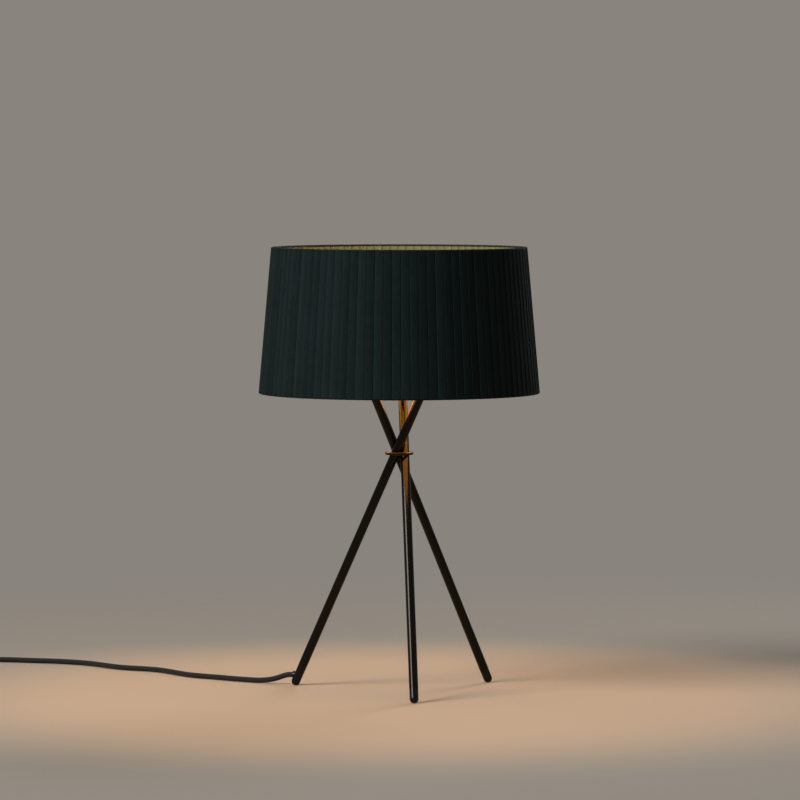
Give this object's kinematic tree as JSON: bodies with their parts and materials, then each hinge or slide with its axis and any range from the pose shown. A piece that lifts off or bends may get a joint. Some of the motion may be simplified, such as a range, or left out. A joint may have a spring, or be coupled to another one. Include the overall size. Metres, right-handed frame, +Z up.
{
  "type": "tripod table lamp",
  "caption": "Tripod table lamp on straight crossing tube legs bound by a ring, with a conical drum shade of upright ribbon strips and a cord with a rocker switch.",
  "frame": {"origin": "on the floor under the middle of the shade, on the shade's axis", "axes": "+Z up along the shade's axis; the front leg's foot points to -Y and the cord leaves the left leg towards -X"},
  "size_m": [0.7381, 0.4427, 0.49],
  "materials": {
    "leg_paint": "semi-gloss black powder coat",
    "ring_paint": "satin black",
    "foot_rubber": "smooth black rubber",
    "carrier_paint": "matt black casting",
    "screw_steel": "zinc-plated steel",
    "holder_black": "black moulded holder",
    "core_ceramic": "glazed white ceramic",
    "contact_brass": "plain brass",
    "frame_white": "white enamelled wire",
    "lining_gold": "gold-toned stiff lining",
    "ribbon": "dark green-blue woven ribbon",
    "bulb_glass": "opal glass, lit warm",
    "bulb_metal": "nickel-plated screw cap",
    "filament": "yellow light sticks",
    "lead_black": "black sheath",
    "cord_textile": "black braided cover",
    "switch_black": "fine-grained black",
    "rocker_black": "smooth black",
    "boot_black": "soft black",
    "tie_black": "woven strap",
    "pin_nickel": "nickel plated"
  },
  "bodies": {
    "lamp": {"leg_right": "leg_paint", "leg_left": "leg_paint", "leg_front": "leg_paint", "foot_right": "foot_rubber", "foot_front": "foot_rubber", "foot_cord_outlet": "foot_rubber", "binding_ring": "ring_paint", "carrier": "carrier_paint", "cup_grub_screws": "screw_steel", "nipple": "screw_steel", "nipple_nut": "screw_steel", "holder_cap": "holder_black", "holder_shell": "holder_black", "holder_core": "core_ceramic", "holder_screw_shell": "contact_brass", "holder_contact": "contact_brass", "ring_nut": "holder_black", "shade_bottom_ring": "frame_white", "shade_spider": "frame_white", "shade_top_ring": "frame_white", "shade_lining": "lining_gold", "shade_ribbon": "ribbon", "inner_lead": "lead_black", "cord_to_switch": "cord_textile", "switch_lower": "switch_black", "switch_upper": "switch_black", "rocker_pin": "screw_steel", "switch_terminals": "contact_brass", "switch_screws": "screw_steel", "switch_boot_in": "boot_black", "switch_boot_out": "boot_black", "cord_to_coil": "cord_textile", "cord_coil": "cord_textile", "coil_tie": "tie_black", "cord_to_plug": "cord_textile", "plug_boot": "boot_black", "plug_body": "switch_black", "plug_pins": "pin_nickel", "plug_pin_sleeves": "switch_black"},
    "bulb": {"bulb_glass": "bulb_glass", "bulb_cap": "bulb_metal", "bulb_contact": "bulb_metal", "bulb_stem": "bulb_glass", "bulb_filaments": "filament"},
    "rocker": {"switch_rocker": "rocker_black", "switch_bridge": "contact_brass"}
  },
  "joints": [
    {"name": "bulb_lift", "type": "slide", "parent": "lamp", "child": "bulb", "axis": [0, 0, 1], "range_m": [0, 0.13]},
    {"name": "rocker_press", "type": "hinge", "parent": "lamp", "child": "rocker", "pos_m": [-0.5, 0.18, 0.012], "axis": [-1, 0, 0], "range_deg": [0, 14]}
  ]
}
